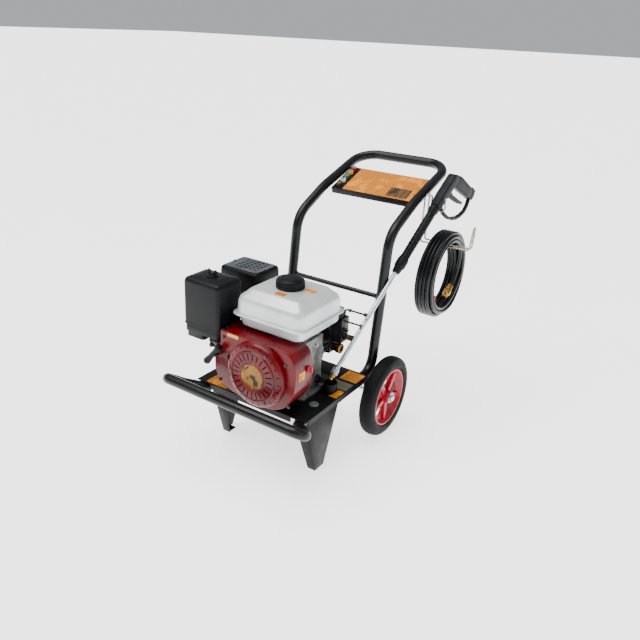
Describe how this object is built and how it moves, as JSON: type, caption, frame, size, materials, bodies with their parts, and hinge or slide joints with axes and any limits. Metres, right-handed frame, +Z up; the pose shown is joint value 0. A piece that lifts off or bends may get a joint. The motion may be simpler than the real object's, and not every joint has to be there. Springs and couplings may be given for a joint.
{
  "type": "pressure washer",
  "caption": "Petrol pressure washer on a two-wheel tube frame with handle, engine, pump, spray gun and lance, coiled hose and nozzle panel.",
  "frame": {"origin": "centre of the footprint of everything but the loose hose, on the ground", "axes": "+Z up, +Y towards the handle, +X to the right of someone facing the front"},
  "size_m": [0.6108, 0.9932, 0.821],
  "materials": {
    "main_frame": "satin powder coat",
    "bumper_bar": "satin powder coat",
    "cross_bar": "satin powder coat",
    "deck_plate": "satin powder coat",
    "leg_left": "satin powder coat",
    "leg_right": "satin powder coat",
    "axle": "zinc plated",
    "hub_nut_left": "bright plated",
    "hub_nut_right": "bright plated",
    "control_panel": "orange face, black edges",
    "hose_hanger": "zinc plated wire",
    "gun_hook": "zinc plated wire",
    "lance_rest": "zinc plated",
    "hose_coil": "semi-gloss black",
    "hose_coupling_gun": "red sleeve",
    "hose_coupling_pump": "turned",
    "engine_block": "die cast",
    "rocker_cover": "black",
    "fan_cover": "gloss red",
    "recoil_cover": "gloss red",
    "starter_rope": "braided",
    "fuel_tank": "gloss silver-white",
    "air_cleaner_base": "moulded",
    "air_cleaner_stud": "zinc plated",
    "filter_element": "foam",
    "carburettor": "die cast",
    "muffler": "heat-dulled",
    "muffler_guard": "silver-grey top, black sides",
    "spark_plug_cap": "moulded",
    "pump_body": "black cast",
    "pump_manifold": "anodised",
    "inlet_fitting": "turned",
    "tyre_left": "matt rubber",
    "rim_left": "glossy red",
    "tyre_right": "matt rubber",
    "rim_right": "glossy red",
    "gun_body": "moulded",
    "lance_grip": "moulded sleeve",
    "lance_tube": "polished",
    "lance_nozzle": "turned",
    "gun_trigger": "moulded",
    "lance_coupler": "turned",
    "crankshaft": "ground",
    "flywheel": "machined",
    "starter_grip": "moulded",
    "recoil_pulley": "moulded",
    "fuel_cap": "moulded",
    "air_cleaner_cover": "moulded",
    "air_cleaner_wing_nut": "moulded",
    "choke_lever": "moulded",
    "fuel_lever": "moulded",
    "throttle_lever": "moulded",
    "engine_switch": "red",
    "oil_dipstick": "moulded",
    "pressure_knob": "moulded",
    "nozzle_soap": "coloured collar",
    "nozzle_40_degree": "coloured collar",
    "nozzle_25_degree": "coloured collar",
    "nozzle_15_degree": "coloured collar",
    "nozzle_0_degree": "coloured collar"
  },
  "bodies": {
    "frame": {"main_frame": "main_frame", "bumper_bar": "bumper_bar", "cross_bar": "cross_bar", "deck_plate": "deck_plate", "leg_left": "leg_left", "leg_right": "leg_right", "axle": "axle", "hub_nut_left": "hub_nut_left", "hub_nut_right": "hub_nut_right", "control_panel": "control_panel", "hose_hanger": "hose_hanger", "gun_hook": "gun_hook", "lance_rest": "lance_rest", "hose_coil": "hose_coil", "hose_coupling_gun": "hose_coupling_gun", "hose_coupling_pump": "hose_coupling_pump", "engine_block": "engine_block", "rocker_cover": "rocker_cover", "fan_cover": "fan_cover", "recoil_cover": "recoil_cover", "starter_rope": "starter_rope", "fuel_tank": "fuel_tank", "air_cleaner_base": "air_cleaner_base", "air_cleaner_stud": "air_cleaner_stud", "filter_element": "filter_element", "carburettor": "carburettor", "muffler": "muffler", "muffler_guard": "muffler_guard", "spark_plug_cap": "spark_plug_cap", "pump_body": "pump_body", "pump_manifold": "pump_manifold", "inlet_fitting": "inlet_fitting"},
    "wheel_left": {"tyre_left": "tyre_left", "rim_left": "rim_left"},
    "wheel_right": {"tyre_right": "tyre_right", "rim_right": "rim_right"},
    "gun": {"gun_body": "gun_body", "lance_grip": "lance_grip", "lance_tube": "lance_tube", "lance_nozzle": "lance_nozzle"},
    "trigger": {"gun_trigger": "gun_trigger"},
    "collar": {"lance_coupler": "lance_coupler"},
    "crank": {"crankshaft": "crankshaft", "flywheel": "flywheel"},
    "starter": {"starter_grip": "starter_grip"},
    "pulley": {"recoil_pulley": "recoil_pulley"},
    "fuel_cap": {"fuel_cap": "fuel_cap"},
    "air_cover": {"air_cleaner_cover": "air_cleaner_cover"},
    "wing_nut": {"air_cleaner_wing_nut": "air_cleaner_wing_nut"},
    "choke": {"choke_lever": "choke_lever"},
    "fuel_tap": {"fuel_lever": "fuel_lever"},
    "throttle": {"throttle_lever": "throttle_lever"},
    "switch": {"engine_switch": "engine_switch"},
    "dipstick": {"oil_dipstick": "oil_dipstick"},
    "pressure_knob": {"pressure_knob": "pressure_knob"},
    "nozzle_soap": {"nozzle_soap": "nozzle_soap"},
    "nozzle_40_degree": {"nozzle_40_degree": "nozzle_40_degree"},
    "nozzle_25_degree": {"nozzle_25_degree": "nozzle_25_degree"},
    "nozzle_15_degree": {"nozzle_15_degree": "nozzle_15_degree"},
    "nozzle_0_degree": {"nozzle_0_degree": "nozzle_0_degree"}
  },
  "joints": [
    {"name": "wheel_left_spin", "type": "hinge", "parent": "frame", "child": "wheel_left", "pos_m": [-0.27013, 0.02672, 0.133], "axis": [1, 0, 0], "continuous": true},
    {"name": "wheel_right_spin", "type": "hinge", "parent": "frame", "child": "wheel_right", "pos_m": [0.18907, 0.02672, 0.133], "axis": [1, 0, 0], "continuous": true},
    {"name": "gun_lift", "type": "slide", "parent": "frame", "child": "gun", "axis": [0.1099, 0.7125, 0.6931], "range_m": [0, 0.1]},
    {"name": "trigger_pull", "type": "hinge", "parent": "gun", "child": "trigger", "pos_m": [0.19652, 0.33559, 0.74687], "axis": [0.9883, -0.1525, 0], "range_deg": [0, 11], "stiffness_Nm_per_rad": 0.4, "springref_deg": -17.19},
    {"name": "collar_pull", "type": "slide", "parent": "gun", "child": "collar", "axis": [0.1099, 0.7125, 0.6931], "range_m": [0, 0.006], "stiffness_N_per_m": 300, "springref_m": -0.01},
    {"name": "crank_spin", "type": "hinge", "parent": "frame", "child": "crank", "pos_m": [0.00147, -0.27328, 0.33], "axis": [0, 1, 0], "continuous": true},
    {"name": "recoil_pull", "type": "slide", "parent": "frame", "child": "starter", "axis": [-0.9854, 0, -0.1702], "range_m": [0, 0.5], "stiffness_N_per_m": 12, "springref_m": -0.3, "deforming": ["starter_rope"]},
    {"name": "recoil_pulley_spin", "type": "hinge", "parent": "frame", "child": "pulley", "pos_m": [0.00147, -0.41328, 0.33], "axis": [0, -1, 0], "range_deg": [0, 690]},
    {"name": "fuel_cap_turn", "type": "hinge", "parent": "frame", "child": "fuel_cap", "pos_m": [-0.00653, -0.24628, 0.556], "axis": [0, 0, 1], "range_deg": [0, 90]},
    {"name": "air_cover_lift", "type": "slide", "parent": "frame", "child": "air_cover", "axis": [0, 0, 1], "range_m": [0, 0.08]},
    {"name": "wing_nut_turn", "type": "hinge", "parent": "air_cover", "child": "wing_nut", "pos_m": [-0.21103, -0.34553, 0.556], "axis": [0, 0, 1], "continuous": true},
    {"name": "choke_turn", "type": "hinge", "parent": "frame", "child": "choke", "pos_m": [-0.19053, -0.37728, 0.366], "axis": [0, -1, 0], "range_deg": [0, 20]},
    {"name": "fuel_tap_turn", "type": "hinge", "parent": "frame", "child": "fuel_tap", "pos_m": [-0.19053, -0.37728, 0.35], "axis": [0, 1, 0], "range_deg": [0, 20]},
    {"name": "throttle_turn", "type": "hinge", "parent": "frame", "child": "throttle", "pos_m": [-0.12653, -0.37328, 0.426], "axis": [0, 0, 1], "range_deg": [0, 45]},
    {"name": "switch_turn", "type": "hinge", "parent": "frame", "child": "switch", "pos_m": [0.12687, -0.33528, 0.36], "axis": [1, 0, 0], "range_deg": [0, 60]},
    {"name": "dipstick_turn", "type": "hinge", "parent": "frame", "child": "dipstick", "pos_m": [0.07347, -0.20528, 0.256], "axis": [1, 0, 0], "continuous": true},
    {"name": "pressure_knob_turn", "type": "hinge", "parent": "frame", "child": "pressure_knob", "pos_m": [0.06347, -0.08028, 0.43], "axis": [0, 0, 1], "range_deg": [-180, 180]},
    {"name": "nozzle_soap_pull", "type": "slide", "parent": "frame", "child": "nozzle_soap", "axis": [0, -0.3697, 0.9291], "range_m": [0, 0.045]},
    {"name": "nozzle_40_degree_pull", "type": "slide", "parent": "frame", "child": "nozzle_40_degree", "axis": [0, -0.3697, 0.9291], "range_m": [0, 0.045]},
    {"name": "nozzle_25_degree_pull", "type": "slide", "parent": "frame", "child": "nozzle_25_degree", "axis": [0, -0.3697, 0.9291], "range_m": [0, 0.045]},
    {"name": "nozzle_15_degree_pull", "type": "slide", "parent": "frame", "child": "nozzle_15_degree", "axis": [0, -0.3697, 0.9291], "range_m": [0, 0.045]},
    {"name": "nozzle_0_degree_pull", "type": "slide", "parent": "frame", "child": "nozzle_0_degree", "axis": [0, -0.3697, 0.9291], "range_m": [0, 0.045]}
  ],
  "couplings": [
    {"joint": "recoil_pulley_spin", "follows": "recoil_pull", "rad_per_m": 23.809}
  ]
}
